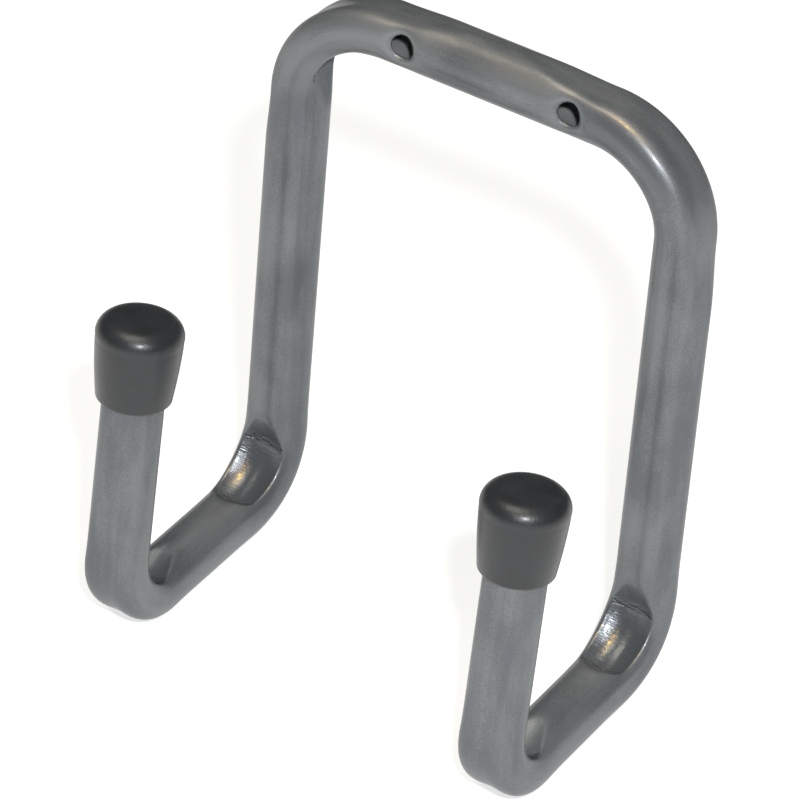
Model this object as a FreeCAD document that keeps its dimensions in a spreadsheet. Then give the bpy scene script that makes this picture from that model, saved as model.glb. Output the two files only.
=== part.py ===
import FreeCAD, Part
import math
import os
import Sketcher

# Garage utility hook: one steel tube, crushed to shape at six bends, with a soft cap on each upright
# Millimetres. Z is up, the wall is the plane Y = 0 and the hooks reach out towards -Y.
# The origin lies on the wall, level with the top bar and midway between the two screw holes.

os.makedirs("parts", exist_ok=True)
doc = FreeCAD.newDocument("utility_hook")
V = FreeCAD.Vector

# Driving dimensions
sheet = doc.addObject("Spreadsheet::Sheet", "Dimensions")
sizes = [
    ("tube_diameter", "16.0", "outside diameter of the tube"),
    ("tube_wall", "1.2", "wall of the tube"),
    ("bore_bend_joints", "3", "joints between the straight lengths that stand for the bore in a bend"),
    ("arm_spacing", "115.0", "side arm to side arm, on the centrelines"),
    ("frame_height", "146.5", "top bar down to the back corner, on the centrelines"),
    ("hook_reach", "71.0", "back corner to front corner along a bottom arm"),
    ("upright_length", "85.0", "front corner to the cut end of the tube"),
    ("top_bend_angle", "90.0", "turn from the top bar into a side arm"),
    ("back_bend_angle", "84.0", "turn from a side arm into a bottom arm"),
    ("front_bend_angle", "100.0", "turn from a bottom arm into an upright"),
    ("top_bend_radius", "26.0", "centreline radius of the two top bends"),
    ("back_bend_radius", "21.0", "centreline radius of the two back bends"),
    ("front_bend_radius", "15.5", "centreline radius of the two front bends"),
    ("imprint_depth", "3.6", "how far the inside of a bend is pressed in"),
    ("imprint_facet_slope", "25.0", "slope of the flat facet at each end of the floor, from the run beside it"),
    ("outer_flattening", "2.0", "how far the outside of a bend is flattened"),
    ("outer_run_out_slope", "8.0", "slope at which the flattening runs out along the straight runs"),
    ("screw_hole_diameter", "6.5", "hole for one screw, through both walls of the top bar"),
    ("screw_hole_spacing", "49.0", "screw hole to screw hole"),
    ("cap_mouth_diameter", "19.6", "outside diameter of a cap at its open mouth"),
    ("cap_crown_diameter", "22.8", "outside diameter of a cap where its side meets the top edge"),
    ("cap_length", "21.3", "overall length of a cap"),
    ("cap_top_thickness", "3.0", "solid top of a cap above the end of the tube"),
    ("cap_edge_rounding", "2.6", "size of the cap's rounded top edge, drawn as two bevels"),
    ("cap_fit_clearance", "0.05", "room between the tube and the bore of a cap, on the radius"),
]
for row, (alias, value, note) in enumerate(sizes, start=1):
    sheet.set("A%d" % row, alias.replace("_", " "))
    sheet.set("B%d" % row, value)
    sheet.set("C%d" % row, note)
    sheet.setAlias("B%d" % row, alias)
doc.recompute()


def size(alias):
    return float(sheet.get(alias))


tube_radius = size("tube_diameter") / 2
# What a bend takes off each of the two lengths that meet at its corner
TAKEN = {name: "Dimensions.%s_bend_radius * tan(Dimensions.%s_bend_angle * 1deg / 2)" % (name, name)
         for name in ("top", "back", "front")}


# Centreline of the right half: half the top bar, a side arm, a bottom arm and an upright
# A station is a point of it with the direction in which the tube runs on.
class Station:
    def __init__(self, point, along):
        self.point = point
        self.along = along

    def moved(self, distance):
        return Station(self.point + self.along * distance, self.along)

    def centre(self, axis, radius):
        return self.point + axis.cross(self.along) * radius

    def turned(self, axis, radius, angle):
        centre = self.centre(axis, radius)
        rotation = FreeCAD.Rotation(axis, angle)
        return Station(centre + rotation.multVec(self.point - centre), rotation.multVec(self.along))


def taken(name):
    return size(name + "_bend_radius") * math.tan(math.radians(size(name + "_bend_angle") / 2))


# The bar runs towards +X, the top bend turns it down, and the other two turn it forwards and up again
middle = Station(V(0, -tube_radius, 0), V(1, 0, 0))
down, forwards = V(0, 1, 0), V(-1, 0, 0)
arm_top = middle.moved(size("arm_spacing") / 2 - taken("top"))
arm = arm_top.turned(down, size("top_bend_radius"), size("top_bend_angle"))
arm_foot = arm.moved(size("frame_height") - taken("top") - taken("back"))
bottom = arm_foot.turned(forwards, size("back_bend_radius"), size("back_bend_angle"))
bottom_front = bottom.moved(size("hook_reach") - taken("back") - taken("front"))
upright = bottom_front.turned(forwards, size("front_bend_radius"), size("front_bend_angle"))
tube_end = upright.moved(size("upright_length") - taken("front"))
runs = [
    ("side_arm", arm, "Dimensions.frame_height - %s - %s" % (TAKEN["top"], TAKEN["back"])),
    ("bottom_arm", bottom, "Dimensions.hook_reach - %s - %s" % (TAKEN["back"], TAKEN["front"])),
    ("upright", upright, "Dimensions.upright_length - %s" % TAKEN["front"]),
]


# Bends and the two presses that shape each one
# The inner one leaves the curved floor of the imprint, all the way round, and a flat facet at each end of it.
# The outer one flattens the outside all the way round and runs out along the straight runs.
# Lifted by the wall, both shape the bore in the same way.
class Bend:
    def __init__(self, name, station, axis):
        self.name = name
        self.radius, self.angle = size(name + "_bend_radius"), size(name + "_bend_angle")
        self.axis = axis
        self.centre = station.centre(axis, self.radius)
        self.spoke = (station.point - self.centre).normalize()

    # A point of the bend's plane, by the turn from where the bend starts and the distance from its centre
    def at(self, turn, distance):
        return self.centre + self.out(turn) * distance

    def out(self, turn):
        return FreeCAD.Rotation(self.axis, turn).multVec(self.spoke)

    # The tube's direction at that turn
    def along(self, turn):
        return self.axis.cross(self.out(turn))


bends = [Bend("top", arm_top, down), Bend("back", arm_foot, forwards), Bend("front", bottom_front, forwards)]


def press(outline, axis):
    half_width = 1.5 * tube_radius
    face = Part.Face(Part.Wire(outline))
    face.translate(axis * -half_width)
    return face.extrude(axis * 2 * half_width)


def line(start, end):
    return Part.LineSegment(start, end).toShape()


def inner_press(bend, lift):
    angle = bend.angle
    floor = bend.radius - tube_radius + size("imprint_depth") + lift
    start_crease, middle_floor, end_crease = [bend.at(turn, floor) for turn in (0, angle / 2, angle)]
    slope = math.radians(size("imprint_facet_slope"))
    sunk = 1.5 * size("imprint_depth")
    facet = sunk / math.tan(slope)
    start = start_crease - bend.along(0) * facet - bend.out(0) * sunk
    end = end_crease + bend.along(angle) * facet - bend.out(angle) * sunk
    return press([line(start, start_crease), Part.Arc(start_crease, middle_floor, end_crease).toShape(),
                  line(end_crease, end), line(end, bend.centre), line(bend.centre, start)], bend.axis)


def outer_press(bend, lift):
    angle, slope = bend.angle, size("outer_run_out_slope")
    flat = bend.radius + tube_radius - lift - size("outer_flattening")
    first, crest, last = [bend.at(turn, flat) for turn in (0, angle / 2, angle)]
    risen = 2 * size("outer_flattening")
    run_out = risen / math.tan(math.radians(slope))
    start = first - bend.along(0) * run_out + bend.out(0) * risen
    end = last + bend.along(angle) * run_out + bend.out(angle) * risen
    corner = bend.at(angle / 2, 2 * flat)
    return press([line(start, first), Part.Arc(first, crest, last).toShape(), line(last, end),
                  line(end, corner), line(corner, start)], bend.axis)


# Skins
# The outside of the tube is built from its runs and bends, and the bore from straight lengths only.
def cut(name, base, tool):
    feature = doc.addObject("Part::Cut", name)
    feature.Base = base
    feature.Tool = tool
    feature.Refine = False
    return feature


def fuse(name, shapes):
    feature = doc.addObject("Part::MultiFuse", name)
    feature.Shapes = shapes
    feature.Refine = False
    return feature


def run(name, station, length, radius):
    feature = doc.addObject("Part::Cylinder", name)
    feature.setExpression("Radius", radius)
    feature.setExpression("Height", length)
    feature.Placement = FreeCAD.Placement(station.point, FreeCAD.Rotation(V(0, 0, 1), station.along))
    return feature


def bent(bend):
    feature = doc.addObject("Part::Torus", bend.name + "_bend")
    feature.setExpression("Radius1", "Dimensions.%s_bend_radius" % bend.name)
    feature.setExpression("Radius2", "Dimensions.tube_diameter / 2")
    feature.setExpression("Angle3", "Dimensions.%s_bend_angle * 1deg" % bend.name)
    rotation = FreeCAD.Rotation(bend.spoke, bend.along(0), bend.axis, "ZXY")
    feature.Placement = FreeCAD.Placement(bend.centre, rotation)
    return feature


def mirrored(name, half):
    other = doc.addObject("Part::Mirroring", name)
    other.Source = half
    other.Normal = V(1, 0, 0)
    return other


def pressed(prefix, half, lift):
    for bend in bends:
        for where, shape in (("inner", inner_press), ("outer", outer_press)):
            tool = doc.addObject("Part::Feature", "%s_%s_%s_press" % (prefix, bend.name, where))
            tool.Shape = shape(bend, lift)
            half = cut("%s_%s_%s_pressed" % (prefix, bend.name, where), half, tool)
    return half


# Outside of the tube
outer_radius = "Dimensions.tube_diameter / 2"
half_bar = ("half_bar", middle, "Dimensions.arm_spacing / 2 - %s" % TAKEN["top"])
skin_pieces = [bent(bend) for bend in bends]
skin_pieces += [run("skin_" + name, start, length, outer_radius) for name, start, length in [half_bar] + runs]
skin_half = pressed("skin", fuse("skin_pieces", skin_pieces), 0.0)
skin = fuse("skin", [skin_half, mirrored("skin_other_half", skin_half)])


# Bore of the tube, which runs straight between the mitred joints that stand for the curve of a bend
def bore_bend(bend):
    joints = int(size("bore_bend_joints"))
    step = bend.angle / joints
    bore_radius = tube_radius - size("tube_wall")
    reach = bend.radius + tube_radius
    turns = [0.0] + [step * (i + 0.5) for i in range(joints)] + [bend.angle]
    lengths = []
    for i, (first, last) in enumerate(zip(turns, turns[1:])):
        tangent = 0.0 if i == 0 else bend.angle if i == joints else step * i
        start = bend.at(tangent, bend.radius) - bend.along(tangent) * reach
        whole = Part.makeCylinder(bore_radius, 2 * reach, start, bend.along(tangent))
        corners = [bend.centre, bend.at(first, 2 * reach), bend.at(last, 2 * reach)]
        sides = [line(corners[n - 1], corner) for n, corner in enumerate(corners)]
        lengths.append(whole.common(press(sides, bend.axis)))
    feature = doc.addObject("Part::Feature", "bore_%s_bend" % bend.name)
    feature.Shape = lengths[0].multiFuse(lengths[1:]).removeSplitter()
    return feature


bore_radius = "Dimensions.tube_diameter / 2 - Dimensions.tube_wall"
bore_pieces = [bore_bend(bend) for bend in bends]
bore_pieces += [run("bore_" + name, start, length, bore_radius) for name, start, length in [half_bar] + runs]
straight_bore = fuse("bore_pieces", bore_pieces)
straight_bore.Refine = True
bore_half = pressed("bore", straight_bore, size("tube_wall"))
bore = fuse("bore", [bore_half, mirrored("bore_other_half", bore_half)])
hollow_tube = cut("hollow_tube", skin, bore)

# Screw holes
# Each goes straight through the front and back walls of the top bar.
holes = []
for side, sign in (("right", ""), ("left", "-")):
    hole = doc.addObject("Part::Cylinder", side + "_screw_hole")
    hole.setExpression("Radius", "Dimensions.screw_hole_diameter / 2")
    hole.setExpression("Height", "Dimensions.tube_diameter * 2")
    hole.Placement = FreeCAD.Placement(V(0, 0, 0), FreeCAD.Rotation(V(1, 0, 0), 90))
    hole.setExpression("Placement.Base.x", sign + "Dimensions.screw_hole_spacing / 2")
    hole.setExpression("Placement.Base.y", "Dimensions.tube_diameter / 2")
    holes.append(hole)
hook_tube = cut("hook_tube", hollow_tube, fuse("screw_holes", holes))


# Caps
# A tapered cup of soft vinyl, wider at its closed top, pushed over the cut end of an upright.
def origin_plane(body, role):
    return [plane for plane in body.Origin.OriginFeatures if plane.Role == role][0]


def value(expression):
    return sheet.evalExpression(expression.replace("Dimensions.", "")) if expression else 0.0


def cap(label, mirror):
    body = doc.addObject("PartDesign::Body", label + "_body")
    body.Label = label
    sketch = body.newObject("Sketcher::SketchObject", label + "_profile")
    sketch.AttachmentSupport = [(origin_plane(body, "XZ_Plane"), "")]
    sketch.MapMode = "FlatFace"
    bore = "Dimensions.tube_diameter / 2 + Dimensions.cap_fit_clearance"
    crown = "Dimensions.cap_crown_diameter / 2"
    bevel = "Dimensions.cap_edge_rounding"
    inside = "Dimensions.cap_length - Dimensions.cap_top_thickness"
    corners = [
        (bore, ""),
        ("Dimensions.cap_mouth_diameter / 2", ""),
        (crown, "Dimensions.cap_length - %s" % bevel),
        (crown + " - %s * (1 - sqrt(0.5))" % bevel, "Dimensions.cap_length - %s * (1 - sqrt(0.5))" % bevel),
        (crown + " - %s" % bevel, "Dimensions.cap_length"),
        ("", "Dimensions.cap_length"),
        ("", inside),
        (bore, inside),
    ]
    places = [V(*[value(expression) for expression in corner], 0) for corner in corners]
    for i, place in enumerate(places):
        sketch.addGeometry(Part.LineSegment(places[i - 1], place), False)
    for i, (place, corner) in enumerate(zip(places, corners)):
        sketch.addConstraint(Sketcher.Constraint("Coincident", i, 2, (i + 1) % len(corners), 1))
        for kind, at, expression, axis_line in (("DistanceX", place.x, corner[0], -2),
                                                ("DistanceY", place.y, corner[1], -1)):
            if expression:
                index = sketch.addConstraint(Sketcher.Constraint(kind, -1, 1, i, 2, at))
                sketch.setExpression("Constraints[%d]" % index, expression)
            else:
                sketch.addConstraint(Sketcher.Constraint("PointOnObject", i, 2, axis_line))
    revolution = body.newObject("PartDesign::Revolution", label + "_cup")
    revolution.Profile = sketch
    revolution.ReferenceAxis = (sketch, ["V_Axis"])
    revolution.Angle = 360.0
    # The cup's inside top sits on the cut end of the tube, in line with the upright
    seat = tube_end.point - tube_end.along * value(inside)
    lean = math.degrees(math.atan2(-tube_end.along.y, tube_end.along.z))
    seat.x = -seat.x if mirror else seat.x
    body.Placement = FreeCAD.Placement(seat, FreeCAD.Rotation(V(1, 0, 0), lean))
    return body


right_cap = cap("right_cap", False)
left_cap = cap("left_cap", True)

# Check and write
doc.recompute()
for item in doc.Objects:
    if "Invalid" in item.State or "Error" in item.State:
        raise RuntimeError("failed: " + item.Label)
nodes = [hook_tube, left_cap, right_cap]
for node in nodes:
    if node.Shape.isNull() or not node.Shape.isValid() or len(node.Shape.Solids) != 1:
        raise RuntimeError("bad shape: " + node.Label)
for node in nodes:
    node.Shape.exportStep("parts/%s.step" % node.Label)
    box = node.Shape.BoundBox
    print("%-10s volume %9.1f mm3, faces %3d, box %.1f %.1f %.1f .. %.1f %.1f %.1f" % (
        node.Label, node.Shape.Volume, len(node.Shape.Faces),
        box.XMin, box.YMin, box.ZMin, box.XMax, box.YMax, box.ZMax))
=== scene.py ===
import bmesh
import bpy
import math
import numpy as np
from collections import Counter
from mathutils import Euler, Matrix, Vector


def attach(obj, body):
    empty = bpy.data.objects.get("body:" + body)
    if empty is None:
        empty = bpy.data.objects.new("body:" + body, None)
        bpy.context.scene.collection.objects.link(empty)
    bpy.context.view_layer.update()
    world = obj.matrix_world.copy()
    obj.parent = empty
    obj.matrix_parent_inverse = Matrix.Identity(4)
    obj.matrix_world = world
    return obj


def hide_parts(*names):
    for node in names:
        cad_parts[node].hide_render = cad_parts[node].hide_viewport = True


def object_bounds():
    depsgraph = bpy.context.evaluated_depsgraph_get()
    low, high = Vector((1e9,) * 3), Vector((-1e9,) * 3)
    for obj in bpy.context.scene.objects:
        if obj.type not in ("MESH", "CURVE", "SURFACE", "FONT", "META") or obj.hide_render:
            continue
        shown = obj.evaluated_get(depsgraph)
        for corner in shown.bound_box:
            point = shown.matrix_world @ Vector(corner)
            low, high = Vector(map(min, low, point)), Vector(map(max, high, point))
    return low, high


# Garage utility hook over a pale floor, seen from the front, the right and above
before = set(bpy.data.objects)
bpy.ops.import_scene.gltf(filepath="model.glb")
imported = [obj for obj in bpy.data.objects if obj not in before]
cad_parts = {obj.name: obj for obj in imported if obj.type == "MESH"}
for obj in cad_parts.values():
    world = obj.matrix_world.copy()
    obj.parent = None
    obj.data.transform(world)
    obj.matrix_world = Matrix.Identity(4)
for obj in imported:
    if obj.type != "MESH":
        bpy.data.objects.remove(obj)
model_low, model_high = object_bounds()


# Hook tube
# One length of round steel tube with a thin coat of metallic grey paint, bent six times. At each bend a
# former pressed the inside into a glossy saddle with a sloped facet at each end, pushed the sides out and
# left the outside flatter, hollow between two lobes. The screw holes were punched, so their edges roll in.
TUBE_R, TUBE_WALL = 0.008, 0.0012
ARM_SPACING, FRAME_HEIGHT, HOOK_REACH, UPRIGHT_LENGTH = 0.115, 0.1465, 0.071, 0.085
HOLE_SPACING, HOLE_R = 0.049, 0.00325
# A screw hole's dimple and rolled edge, and the punch that opens it
HOLE_DIMPLE, HOLE_DIMPLE_WIDTH = 0.0008, 0.0046
HOLE_ROLL, HOLE_ROLL_DEPTH, STEEPEST_ROLL = 0.0018, 0.0012, 0.96
PUNCH_LENGTH, PUNCH_SIDES, PUNCH_TURN, MERGE_DISTANCE = 0.03, 64, 0.037, 0.000004
# The imprint's floor, its faint middle ridge and its ends. Each end is given in degrees, as its slope and as
# how far round the bend its crease lies.
FLOOR_DEPTH, FLOOR_END_DEPTH, FLOOR_CROWN_R = 0.0049, 0.0044, 0.0105
FLOOR_RIDGE, FLOOR_RIDGE_WIDTH = 0.0002, 0.0013
FACET, ROUNDED_END, END_CROWN_R, NEARLY_PARALLEL = (21, 16), (40, 3), 0.0120, 0.05
# The flattened outside, the sides that push out, and how softly the forms meet
OUTER_FLATTENING, OUTER_RUN_OUT, OUTER_HOLLOW, OUTER_HOLLOW_WIDTH = 0.0021, 0.026, 0.0005, 0.0036
SIDE_BULGE, BULGE_SPREAD = 0.0009, 2.6
EDGE_SOFTNESS, CREASE_SOFTNESS, OUTER_SOFTNESS, LEAST_SOFTNESS = 0.0007, 0.0014, 0.0022, 0.00001
# The marks that the former left, for the paint
TOUCHED_DEPTH, FLOOR_MARK_EDGE, CREASE_MARK_WIDTH = 0.0004, 0.0006, 0.0010
# How far past a bend or a hole its forms reach, and the steps from ring to ring
PRESSED_MARGIN, CRUSHED_MARGIN, FINE_MARGIN, HOLE_MARGIN, DIMPLE_MARGIN = 0.027, 0.008, 0.010, 0.0065, 0.004
RING_POINTS, FINE_STEP, HOLE_STEP, COARSE_STEP, LEAST_STEP = 112, 0.0009, 0.0003, 0.0022, 0.00015
BORE_RING_SPACING = 4


def soft_max(a, b, softness=EDGE_SOFTNESS):
    """The larger of the two, rounded where they meet."""
    h = np.maximum(softness - np.abs(a - b), 0) / softness
    return np.maximum(a, b) + h * h * softness / 4


def crown(across, radius):
    """How far a former's rounded rim of that radius falls away, across from its middle."""
    return radius - np.sqrt(np.maximum(radius ** 2 - across ** 2, 0))


class Bend:
    """One bend of the centreline. In it, x runs along the centreline from where the bend starts.

    The former's lean is the imprint's slope across the tube, deeper towards where the bend's axis points. A
    bend that doesn't bulge back stays as it was on that side, where the wall is.
    """

    def __init__(self, radius, degrees, axis, bulges_back, former_lean, ends):
        self.radius, self.turn = radius, math.radians(degrees)
        self.length = radius * self.turn
        self.taken = radius * math.tan(self.turn / 2)
        self.axis, self.bulges_back = Vector(axis), bulges_back
        self.former_lean, self.ends = former_lean, ends

    def share(self, x):
        """0 at the start of the bend and 1 at its end."""
        return min(max(x / self.length, 0), 1)

    def end_of_imprint(self, x, end):
        """How far out the slope at one end of the imprint lies, x from that end of the bend."""
        slope, crease_turn = math.tan(math.radians(end[0])), math.radians(end[1])
        crease = self.radius - TUBE_R + FLOOR_END_DEPTH
        out, past = crease * math.cos(crease_turn), crease * math.sin(crease_turn)
        if x < 0:
            return out + (x - past) * slope - self.radius
        spoke = x / self.radius
        steepness = max(math.cos(spoke) - math.sin(spoke) * slope, NEARLY_PARALLEL)
        return (out - past * slope) / steepness - self.radius

    def floor(self, x):
        """How far out the middle of the imprint's floor lies."""
        rise = 1 - (2 * self.share(x) - 1) ** 2
        return FLOOR_END_DEPTH + (FLOOR_DEPTH - FLOOR_END_DEPTH) * rise - TUBE_R

    def flattened(self, x):
        """How much of the outside's flattening there is. It runs out along both straight runs."""
        share = min(max(1 + min(x, self.length - x) / OUTER_RUN_OUT, 0), 1)
        return share ** 2 * (3 - 2 * share)

    def crush(self, x):
        """How far the section is crushed, from 0 outside the bend to 1 halfway round."""
        share = (x + CRUSHED_MARGIN) / (self.length + 2 * CRUSHED_MARGIN)
        return math.sin(math.pi * min(max(share, 0), 1)) ** 2


top_bend = Bend(0.026, 90, (0, 1, 0), False, 0.25, (FACET, FACET))
back_bend = Bend(0.021, 84, (-1, 0, 0), True, 0, (FACET, ROUNDED_END))
front_bend = Bend(0.0155, 100, (-1, 0, 0), True, 0, (FACET, FACET))
half_run = [
    ("bar", ARM_SPACING / 2 - top_bend.taken, None),
    ("top bend", top_bend.length, top_bend),
    ("side arm", FRAME_HEIGHT - top_bend.taken - back_bend.taken, None),
    ("back bend", back_bend.length, back_bend),
    ("bottom arm", HOOK_REACH - back_bend.taken - front_bend.taken, None),
    ("front bend", front_bend.length, front_bend),
    ("upright", UPRIGHT_LENGTH - front_bend.taken, None),
]


def turned(vector, axis, angle):
    """The vector turned about the axis, which is square to it or along it."""
    return vector * math.cos(angle) + axis.cross(vector) * math.sin(angle) \
        + axis * axis.dot(vector) * (1 - math.cos(angle))


# Where the bends start along the right half, and the distances at which the rings of the tube lie
starts, distance = {}, 0.0
for name, length, bend in half_run:
    starts[name] = distance
    distance += length
half_length = distance
fine_parts = [(starts[name] - FINE_MARGIN, starts[name] + bend.length + FINE_MARGIN, FINE_STEP)
              for name, length, bend in half_run if bend]
fine_parts.append((HOLE_SPACING / 2 - HOLE_MARGIN, HOLE_SPACING / 2 + HOLE_MARGIN, HOLE_STEP))
stops = {0.0, half_length}
for low, high, step in fine_parts:
    stops.update(np.linspace(low, high, int((high - low) / step) + 1))
stops.update(np.linspace(0, half_length, int(half_length / COARSE_STEP)))
stops = sorted(round(stop, 6) for stop in stops if 0 <= stop <= half_length)
stops = [stop for before, stop in zip([-1.0] + stops, stops)
         if stop - before > LEAST_STEP or stop == stops[-1]]

# Rings of the right half, each a distance, a place on the centreline and the directions along and across it
rings, walked = [], 0.0
place, along, up, front = [Vector(v) for v in ((0, -TUBE_R, 0), (1, 0, 0), (0, 0, 1), (0, -1, 0))]
for name, length, bend in half_run:
    last = name == "upright"
    for stop in [s for s in stops if walked <= s < walked + length or last and s >= walked]:
        step = stop - walked
        if bend:
            angle = step / bend.radius
            centre = place + bend.axis.cross(along) * bend.radius
            spoke = turned(place - centre, bend.axis, angle)
            rings.append((stop, centre + spoke, turned(along, bend.axis, angle),
                          turned(up, bend.axis, angle), turned(front, bend.axis, angle)))
        else:
            rings.append((stop, place + along * step, along.copy(), up.copy(), front.copy()))
    if bend:
        centre = place + bend.axis.cross(along) * bend.radius
        place = centre + turned(place - centre, bend.axis, bend.turn)
        along, up, front = [turned(v, bend.axis, bend.turn) for v in (along, up, front)]
    else:
        place = place + along * length
    walked += length


def ring_points(stop, place, along, up, front, radius, lift):
    """Points of one ring of the outside or, lifted by the wall, of the bore, and the marks on them."""
    around = np.arange(RING_POINTS) * 2 * math.pi / RING_POINTS
    across = radius * (np.cos(around)[:, None] * np.array(up) + np.sin(around)[:, None] * np.array(front))
    floor_mark = np.zeros(RING_POINTS)
    crease_mark = np.zeros(RING_POINTS)
    for name, length, bend in half_run:
        if not bend:
            continue
        x = stop - starts[name]
        if x < -PRESSED_MARGIN or x > bend.length + PRESSED_MARGIN:
            continue
        # Each point lies n away from the bend's centre and a along the bend's axis, seen from the centreline
        axis, out = np.array(bend.axis), np.array(along.cross(bend.axis))
        n, a = across @ out, across @ axis
        crush = bend.crush(x)
        floor = bend.floor(x) - crown(a, FLOOR_CROWN_R) - FLOOR_RIDGE * np.exp(-(a / FLOOR_RIDGE_WIDTH) ** 2)
        end = min(bend.end_of_imprint(x, bend.ends[0]), bend.end_of_imprint(bend.length - x, bend.ends[1]))
        end = end - crown(a, END_CROWN_R)
        imprint = -soft_max(-floor, -end, CREASE_SOFTNESS) + bend.former_lean * a + lift
        pressed = soft_max(n, imprint)
        flattened = bend.flattened(x)
        hollow = OUTER_HOLLOW * crush * np.exp(-(a / OUTER_HOLLOW_WIDTH) ** 2)
        outside = TUBE_R - OUTER_FLATTENING * flattened - hollow - lift
        shaped = -soft_max(-pressed, -outside, max(OUTER_SOFTNESS * flattened, LEAST_SOFTNESS))
        bulge = 1 + SIDE_BULGE / TUBE_R * crush * np.cos(np.clip(n / TUBE_R, -1, 1) * math.pi / BULGE_SPREAD)
        if not bend.bulges_back:
            bulge = np.where(a > 0, 1.0, bulge)
        touched = np.clip((pressed - n) / TOUCHED_DEPTH, 0, 1)
        floor_mark = np.maximum(floor_mark, touched * np.clip((end - floor) / FLOOR_MARK_EDGE + 0.5, 0, 1))
        crease_mark = np.maximum(crease_mark, touched * np.exp(-((end - floor) / CREASE_MARK_WIDTH) ** 2))
        across = across + (shaped - n)[:, None] * out + (a * (bulge - 1))[:, None] * axis
    points = np.array(place) + across
    if stop < starts["top bend"] + DIMPLE_MARGIN:
        reach = np.hypot(points[:, 0] - HOLE_SPACING / 2, points[:, 2]) - HOLE_R
        sunk = np.clip(1 - reach / HOLE_DIMPLE_WIDTH, 0, 1) ** 2 * HOLE_DIMPLE
        if not lift:
            rolled = np.clip(1 - reach / HOLE_ROLL, 0, STEEPEST_ROLL)
            sunk = sunk + HOLE_ROLL_DEPTH * (1 - np.sqrt(1 - rolled ** 2))
        points[:, 1] += np.where(points[:, 1] < -TUBE_R, sunk, 0)
    return points, floor_mark, crease_mark


def skin(radius, lift, spacing):
    """Rings of the whole tube, from the left upright's cut end to the right one's."""
    half = [(ring[0], *ring_points(*ring, radius, lift)) for ring in rings[:-1:spacing] + rings[-1:]]
    mirror = np.array([-1, 1, 1])
    other = [(-stop, points * mirror, *marks) for stop, points, *marks in reversed(half[1:])]
    return other + half


outside_skin, bore_skin = skin(TUBE_R, 0, 1), skin(TUBE_R - TUBE_WALL, TUBE_WALL, BORE_RING_SPACING)
tube_rings = outside_skin + bore_skin
verts = np.vstack([ring[1] for ring in tube_rings])
floor_marks, crease_marks = [np.concatenate([ring[i] for ring in tube_rings]) for i in (2, 3)]
bore_marks = np.repeat([0.0, 1.0], [RING_POINTS * len(outside_skin), RING_POINTS * len(bore_skin)])
faces = []


def join_rings(first, second, flip):
    """Quads between two rings, turned over for the bore and one cut end."""
    for j in range(RING_POINTS):
        k = (j + 1) % RING_POINTS
        a, b = first * RING_POINTS, second * RING_POINTS
        quad = (a + j, a + k, b + k, b + j)
        faces.append(quad[::-1] if flip else quad)


bore_start, bore_end = len(outside_skin), len(tube_rings) - 1
for i in range(bore_start - 1):
    join_rings(i, i + 1, False)
for i in range(bore_start, bore_end):
    join_rings(i, i + 1, True)
join_rings(0, bore_start, True)
join_rings(bore_start - 1, bore_end, False)

mesh = bpy.data.meshes.new("bent_tube")
mesh.from_pydata(verts.tolist(), [], faces)
for mark, values in (("floor_mark", floor_marks), ("crease_mark", crease_marks), ("bore_mark", bore_marks)):
    mesh.attributes.new(mark, "FLOAT", "POINT").data.foreach_set("value", values.astype(np.float32))
around = np.tile(np.arange(RING_POINTS) * 2 * math.pi / RING_POINTS, len(tube_rings))
distance_along = np.repeat([ring[0] for ring in tube_rings], RING_POINTS)
straight = np.column_stack([TUBE_R * np.cos(around), TUBE_R * np.sin(around), distance_along])
unbent = mesh.attributes.new("unbent_place", "FLOAT_VECTOR", "POINT")
unbent.data.foreach_set("vector", straight.astype(np.float32).ravel())
tube = bpy.data.objects.new("bent_tube", mesh)
bpy.context.collection.objects.link(tube)

for side in (-1, 1):
    bpy.ops.mesh.primitive_cylinder_add(vertices=PUNCH_SIDES, radius=HOLE_R, depth=PUNCH_LENGTH,
                                        rotation=(math.pi / 2, PUNCH_TURN, 0),
                                        location=(side * HOLE_SPACING / 2, -TUBE_R, 0))
    punch = bpy.context.object
    punched = tube.modifiers.new("screw_hole", "BOOLEAN")
    punched.object, punched.solver = punch, "MANIFOLD"
    bpy.context.view_layer.update()
    cut_mesh = bpy.data.meshes.new_from_object(tube.evaluated_get(bpy.context.evaluated_depsgraph_get()))
    tube.modifiers.clear()
    tube.data = cut_mesh
    bpy.data.objects.remove(punch)

# The slivers that punching leaves are merged or deleted
tidied = bmesh.new()
tidied.from_mesh(tube.data)
bmesh.ops.remove_doubles(tidied, verts=tidied.verts, dist=MERGE_DISTANCE)
bmesh.ops.dissolve_degenerate(tidied, edges=tidied.edges, dist=MERGE_DISTANCE)
bmesh.ops.triangulate(tidied, faces=tidied.faces)
held = Counter(frozenset(face.verts) for face in tidied.faces)
doubled = [face for face in tidied.faces if held[frozenset(face.verts)] > 1]
bmesh.ops.delete(tidied, geom=doubled, context="FACES")
tidied.to_mesh(tube.data)
tidied.free()
tube.data.materials.clear()
tube.data.shade_smooth()

# Paint: a grey with fine metal flake, faint lengthwise streaks and clouding, and a harder shine where the
# former burnished it, with its fine marks across the saddle. The bore is bare bright steel.
paint = bpy.data.materials.new("painted_tube_finish")
paint.use_nodes = True
nodes, links = paint.node_tree.nodes, paint.node_tree.links
shader = nodes["Principled BSDF"]
PAINT_DARK, PAINT_LIGHT = (0.73, (0.138, 0.149, 0.162, 1)), (0.97, (0.220, 0.231, 0.242, 1))
BARE_STEEL = (0.36, 0.37, 0.38, 1)
# The last of these darkens the paint on each imprint's floor: painted shade in that recess.
FLAKE_TONE, STREAK_TONE, TONE_SPREAD, FLOOR_PAINTED_SHADE = 0.5, 0.35, 0.92, -0.18
SHINE, BURNISHED_SHINE, STREAK_DULLNESS, CLOUD_DULLNESS = 0.34, 0.16, 0.08, 0.12


def carried(name):
    """What the mesh carries under that name."""
    node = nodes.new("ShaderNodeAttribute")
    node.attribute_name = name
    return node


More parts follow.
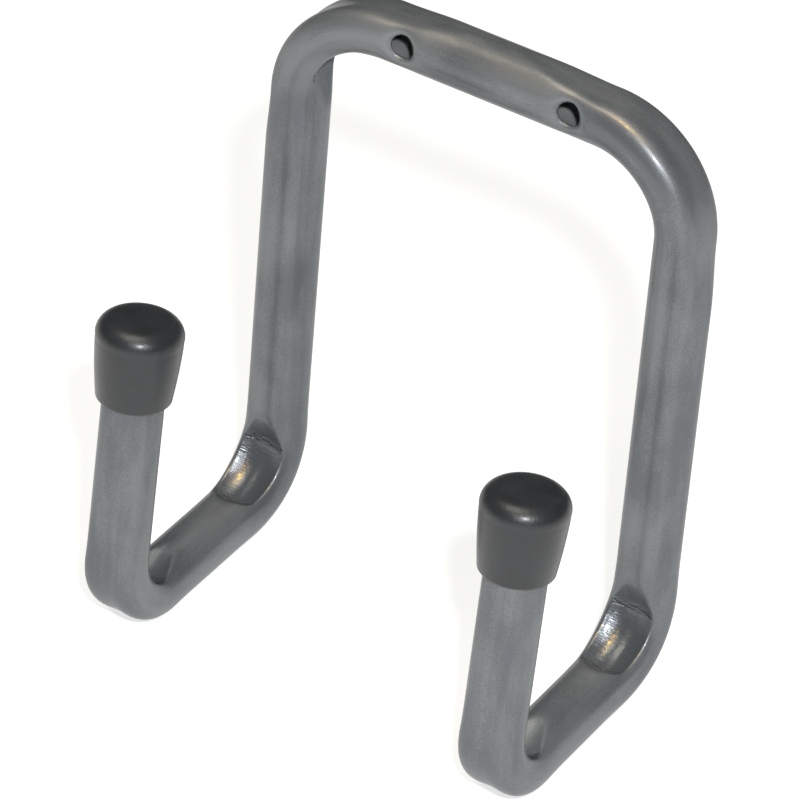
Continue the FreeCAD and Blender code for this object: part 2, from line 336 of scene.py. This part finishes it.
unbent_place, floor_mark = carried("unbent_place"), carried("floor_mark")
crease_mark, bore_mark = carried("crease_mark"), carried("bore_mark")


def tube_noise(scale, detail, stretch):
    """Noise laid on the straight tube and bent with it, stretched along the tube."""
    laid = nodes.new("ShaderNodeMapping")
    laid.inputs["Scale"].default_value = (1, 1, 1 / stretch)
    links.new(unbent_place.outputs["Vector"], laid.inputs["Vector"])
    noise = nodes.new("ShaderNodeTexNoise")
    noise.inputs["Scale"].default_value = scale
    noise.inputs["Detail"].default_value = detail
    links.new(laid.outputs["Vector"], noise.inputs["Vector"])
    return noise.outputs["Fac"]


def sum_of(first, weight, second):
    """The first times its weight, plus the second."""
    node = nodes.new("ShaderNodeMath")
    node.operation = "MULTIPLY_ADD"
    node.inputs[1].default_value = weight
    links.new(first, node.inputs[0])
    if isinstance(second, float):
        node.inputs[2].default_value = second
    else:
        links.new(second, node.inputs[2])
    return node.outputs[0]


def two_tone(place, dark, pale):
    """The colour at that place on a ramp between two, each given with its own place."""
    ramp = nodes.new("ShaderNodeValToRGB")
    for element, (position, colour) in zip(ramp.color_ramp.elements, (dark, pale)):
        element.position, element.color = position, colour
    links.new(place, ramp.inputs["Fac"])
    return ramp.outputs["Color"]


def only_where(height, mark):
    """Noise about its mean where the mark is, and level elsewhere."""
    node = nodes.new("ShaderNodeMath")
    node.operation = "MULTIPLY"
    links.new(sum_of(height, 1.0, -0.5), node.inputs[0])
    links.new(mark.outputs["Fac"], node.inputs[1])
    return node.outputs[0]


clouds, streaks = tube_noise(75, 5, 2.0), tube_noise(420, 3, 14)
flake, scratches, crinkles = tube_noise(3200, 1, 1), tube_noise(260, 2, 0.10), tube_noise(420, 2, 0.35)
tone = sum_of(streaks, STREAK_TONE, sum_of(flake, FLAKE_TONE, clouds))
# The paint is darker where the floor mark is: painted shade in the imprint's recess.
tone = sum_of(floor_mark.outputs["Fac"], FLOOR_PAINTED_SHADE, sum_of(tone, TONE_SPREAD, 0.0))
bared = nodes.new("ShaderNodeMix")
bared.data_type = "RGBA"
bared.inputs["B"].default_value = BARE_STEEL
links.new(bore_mark.outputs["Fac"], bared.inputs["Factor"])
links.new(two_tone(tone, PAINT_DARK, PAINT_LIGHT), bared.inputs["A"])
links.new(bared.outputs["Result"], shader.inputs["Base Color"])
shine = sum_of(floor_mark.outputs["Fac"], BURNISHED_SHINE - SHINE, SHINE)
shine = sum_of(clouds, CLOUD_DULLNESS, sum_of(streaks, STREAK_DULLNESS, shine))
links.new(shine, shader.inputs["Roughness"])
normal = None
for height, strength, depth in ((flake, 0.10, 0.0001), (streaks, 0.20, 0.0003), (clouds, 0.35, 0.0010),
                                (only_where(scratches, floor_mark), 0.28, 0.0005),
                                (only_where(crinkles, crease_mark), 0.70, 0.0016)):
    bump = nodes.new("ShaderNodeBump")
    bump.inputs["Strength"].default_value = strength
    bump.inputs["Distance"].default_value = depth
    links.new(height, bump.inputs["Height"])
    if normal:
        links.new(normal, bump.inputs["Normal"])
    normal = bump.outputs["Normal"]
links.new(normal, shader.inputs["Normal"])
shader.inputs["Metallic"].default_value = 0.50
shader.inputs["Specular Tint"].default_value = (0.45, 0.45, 0.46, 1)
shader.inputs["Coat Weight"].default_value = 0.28
shader.inputs["Coat Roughness"].default_value = 0.13
tube.data.materials.append(paint)
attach(tube, "root")
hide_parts("hook_tube")


# Caps
# Each is a soft vinyl cup dipped to shape, wider towards its rounded, slightly domed top, and stretched
# over the cut end of an upright. Its satin black skin is a little uneven and paler where it was handled.
MOUTH_R, CROWN_R, CAP_LENGTH, CAP_TOP = 0.0098, 0.0113, 0.0230, 0.0047
CAP_EDGE, CAP_DOME, CAP_MOUTH_EDGE, CAP_BORE_R = 0.0046, 0.0004, 0.0006, 0.00805
CAP_BOW, CAP_GROOVE, CAP_GROOVE_PLACE, CAP_GROOVE_WIDTH = 0.00020, 0.00006, 0.95, 0.035
CAP_SEGMENTS, MOUTH_STEPS, SIDE_STEPS, EDGE_STEPS, DOME_STEPS = 96, 6, 30, 12, 9
CAP_EDGE_DEGREES = 81.6

# The cap's profile, from the inside's top over the mouth and up the outside
inside_top = CAP_LENGTH - CAP_TOP
profile = [(CAP_BORE_R, inside_top), (CAP_BORE_R, 0.0)]
for i in range(MOUTH_STEPS + 1):
    angle = math.radians(-90 + 90 * i / MOUTH_STEPS)
    profile.append((MOUTH_R - CAP_MOUTH_EDGE * (1 - math.cos(angle)), CAP_MOUTH_EDGE * (1 + math.sin(angle))))
side_top = CAP_LENGTH - CAP_DOME - CAP_EDGE
for i in range(1, SIDE_STEPS):
    share = i / SIDE_STEPS
    groove = CAP_GROOVE * math.exp(-((share - CAP_GROOVE_PLACE) / CAP_GROOVE_WIDTH) ** 2)
    bow = CAP_BOW * math.sin(math.pi * share) - groove
    profile.append((MOUTH_R + (CROWN_R - MOUTH_R) * share + bow,
                    CAP_MOUTH_EDGE + (side_top - CAP_MOUTH_EDGE) * share))
for i in range(EDGE_STEPS + 1):
    angle = math.radians(CAP_EDGE_DEGREES * i / EDGE_STEPS)
    profile.append((CROWN_R - CAP_EDGE * (1 - math.cos(angle)), side_top + CAP_EDGE * math.sin(angle)))
edge_r, edge_z = profile[-1]
for i in range(1, DOME_STEPS):
    share = i / DOME_STEPS
    profile.append((edge_r * (1 - share), edge_z + (CAP_LENGTH - edge_z) * (1 - (1 - share) ** 2)))
cap_verts, cap_faces = [], []
for r, z in profile:
    for j in range(CAP_SEGMENTS):
        angle = 2 * math.pi * j / CAP_SEGMENTS
        cap_verts.append((r * math.cos(angle), r * math.sin(angle), z))
for i in range(len(profile) - 1):
    for j in range(CAP_SEGMENTS):
        k = (j + 1) % CAP_SEGMENTS
        a, b = i * CAP_SEGMENTS, (i + 1) * CAP_SEGMENTS
        cap_faces.append((a + j, a + k, b + k, b + j))
last_ring = (len(profile) - 1) * CAP_SEGMENTS
cap_verts += [(0, 0, CAP_LENGTH), (0, 0, inside_top)]
for j in range(CAP_SEGMENTS):
    k = (j + 1) % CAP_SEGMENTS
    cap_faces.append((last_ring + j, last_ring + k, len(cap_verts) - 2))
    cap_faces.append((k, j, len(cap_verts) - 1))

vinyl = bpy.data.materials.new("soft_cap_finish")
vinyl.use_nodes = True
nodes, links = vinyl.node_tree.nodes, vinyl.node_tree.links
shader = nodes["Principled BSDF"]
VINYL_DARK, VINYL_PALE = (0.30, (0.0135, 0.0145, 0.0165, 1)), (0.75, (0.025, 0.027, 0.031, 1))
VINYL_SHINE, VINYL_DULLEST = 0.36, 0.52
where = nodes.new("ShaderNodeTexCoord")


def vinyl_noise(scale, detail):
    """Noise laid on a cap."""
    noise = nodes.new("ShaderNodeTexNoise")
    noise.inputs["Scale"].default_value = scale
    noise.inputs["Detail"].default_value = detail
    links.new(where.outputs["Object"], noise.inputs["Vector"])
    return noise.outputs["Fac"]


grain, wear = vinyl_noise(1500, 3), vinyl_noise(120, 5)
links.new(two_tone(wear, VINYL_DARK, VINYL_PALE), shader.inputs["Base Color"])
dull = nodes.new("ShaderNodeMapRange")
dull.inputs["To Min"].default_value = VINYL_SHINE
dull.inputs["To Max"].default_value = VINYL_DULLEST
links.new(wear, dull.inputs["Value"])
links.new(dull.outputs["Result"], shader.inputs["Roughness"])
skin_bump = nodes.new("ShaderNodeBump")
skin_bump.inputs["Strength"].default_value = 0.28
skin_bump.inputs["Distance"].default_value = 0.0003
links.new(grain, skin_bump.inputs["Height"])
links.new(skin_bump.outputs["Normal"], shader.inputs["Normal"])
shader.inputs["Specular IOR Level"].default_value = 0.5
shader.inputs["Coat Weight"].default_value = 0.34
shader.inputs["Coat Roughness"].default_value = 0.26

# Each cap sits on the tube's cut end, in line with the upright
end_place, end_along = rings[-1][1], rings[-1][2]
lean = math.atan2(-end_along.y, end_along.z)
for name, side in (("right_end_cap", 1), ("left_end_cap", -1)):
    cap_mesh = bpy.data.meshes.new(name)
    cap_mesh.from_pydata(cap_verts, [], cap_faces)
    seat = end_place - end_along * inside_top
    seat.x *= side
    turn = Euler((lean, 0, 0)).to_matrix().to_4x4()
    turn.translation = seat
    cap_mesh.transform(turn)
    cap_mesh.shade_smooth()
    cap_mesh.materials.append(vinyl)
    cap = bpy.data.objects.new(name, cap_mesh)
    bpy.context.collection.objects.link(cap)
    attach(cap, "root")
    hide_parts("right_cap" if side > 0 else "left_cap")


# Floor
# A plain pale sweep under the hook, white to the camera where no shadow falls on it
FLOOR_TONE, FLOOR_UNEVENNESS, FLOOR_LIFT, FLOOR_WIDTH, FLOOR_GAP = 0.60, 0.01, 0.70, 6, 0.0005
bpy.ops.mesh.primitive_plane_add(size=FLOOR_WIDTH, location=(0, 0, model_low.z - FLOOR_GAP))
floor = bpy.context.object
floor.name = "studio_floor"
sweep = bpy.data.materials.new("studio_floor_finish")
sweep.use_nodes = True
nodes, links = sweep.node_tree.nodes, sweep.node_tree.links
shader = nodes["Principled BSDF"]
spots = nodes.new("ShaderNodeTexNoise")
spots.inputs["Scale"].default_value = 3
tint = nodes.new("ShaderNodeMapRange")
tint.inputs["To Min"].default_value = FLOOR_TONE
tint.inputs["To Max"].default_value = FLOOR_TONE + FLOOR_UNEVENNESS
links.new(spots.outputs["Fac"], tint.inputs["Value"])
links.new(tint.outputs["Result"], shader.inputs["Base Color"])
seen = nodes.new("ShaderNodeLightPath")
lifted = seen.outputs["Is Camera Ray"]
for ray in ("Is Glossy Ray", "Is Transmission Ray"):
    either = nodes.new("ShaderNodeMath")
    either.operation = "MAXIMUM"
    links.new(lifted, either.inputs[0])
    links.new(seen.outputs[ray], either.inputs[1])
    lifted = either.outputs[0]
glow = nodes.new("ShaderNodeMath")
glow.operation = "MULTIPLY"
glow.inputs[1].default_value = FLOOR_LIFT
links.new(lifted, glow.inputs[0])
shader.inputs["Emission Color"].default_value = (1, 1, 1, 1)
links.new(glow.outputs[0], shader.inputs["Emission Strength"])
shader.inputs["Roughness"].default_value = 0.9
floor.data.materials.append(sweep)


# Light
# A small flash beside the camera, as in the photograph, with a soft overhead panel, a dim grey room and
# two warm ceiling lamps that show only as glints in the metal
HOOK_MIDDLE = Vector((0, -0.03, -0.08))
WARM, WARM_LAMP_SIZE = (1.0, 0.50, 0.02), 0.05


def lamp(name, place, size, power, colour, lights_dull_surfaces=True):
    """A round lamp that faces the middle of the hook."""
    data = bpy.data.lights.new(name, "AREA")
    data.shape, data.size, data.energy, data.color = "DISK", size, power, colour
    light = bpy.data.objects.new(name, data)
    light.location, light.visible_diffuse = place, lights_dull_surfaces
    light.rotation_euler = (HOOK_MIDDLE - Vector(place)).to_track_quat("-Z", "Y").to_euler()
    bpy.context.collection.objects.link(light)
    return light


lamp("flash", (0.638, -0.902, 0.784), 0.09, 16.0, (0.98, 0.99, 1.0))
lamp("overhead", (-0.14, -0.28, 1.12), 0.8, 6.5, (1.0, 0.96, 0.82))
metal_only = bpy.data.collections.new("metal_only")
metal_only.objects.link(tube)
for name, place, power in (("left", (-0.05, -0.41, 1.22), 2.0), ("right", (0.08, -0.54, 1.19), 4.6)):
    warm = lamp(name + "_ceiling_lamp", place, WARM_LAMP_SIZE, power, WARM, lights_dull_surfaces=False)
    warm.light_linking.receiver_collection = metal_only
world = bpy.data.worlds.new("studio_air")
bpy.context.scene.world = world
world.use_nodes = True
world.node_tree.nodes["Background"].inputs["Color"].default_value = (0.95, 0.97, 1, 1)
world.node_tree.nodes["Background"].inputs["Strength"].default_value = 0.10


# Camera
# A long lens, as the nearly parallel sides of the photograph show
LENS, SENSOR = 246.26, 36.0
CAMERA_PLACE, CAMERA_DEGREES = (0.597226, -1.009050, 0.669697), (56.5072, -4.1501, 34.4053)
camera_data = bpy.data.cameras.new("camera")
camera_data.lens, camera_data.sensor_width = LENS, SENSOR
camera = bpy.data.objects.new("camera", camera_data)
camera.location = CAMERA_PLACE
camera.rotation_euler = Euler([math.radians(angle) for angle in CAMERA_DEGREES])
bpy.context.collection.objects.link(camera)
bpy.context.scene.camera = camera
bpy.context.scene.view_settings.view_transform = "Standard"
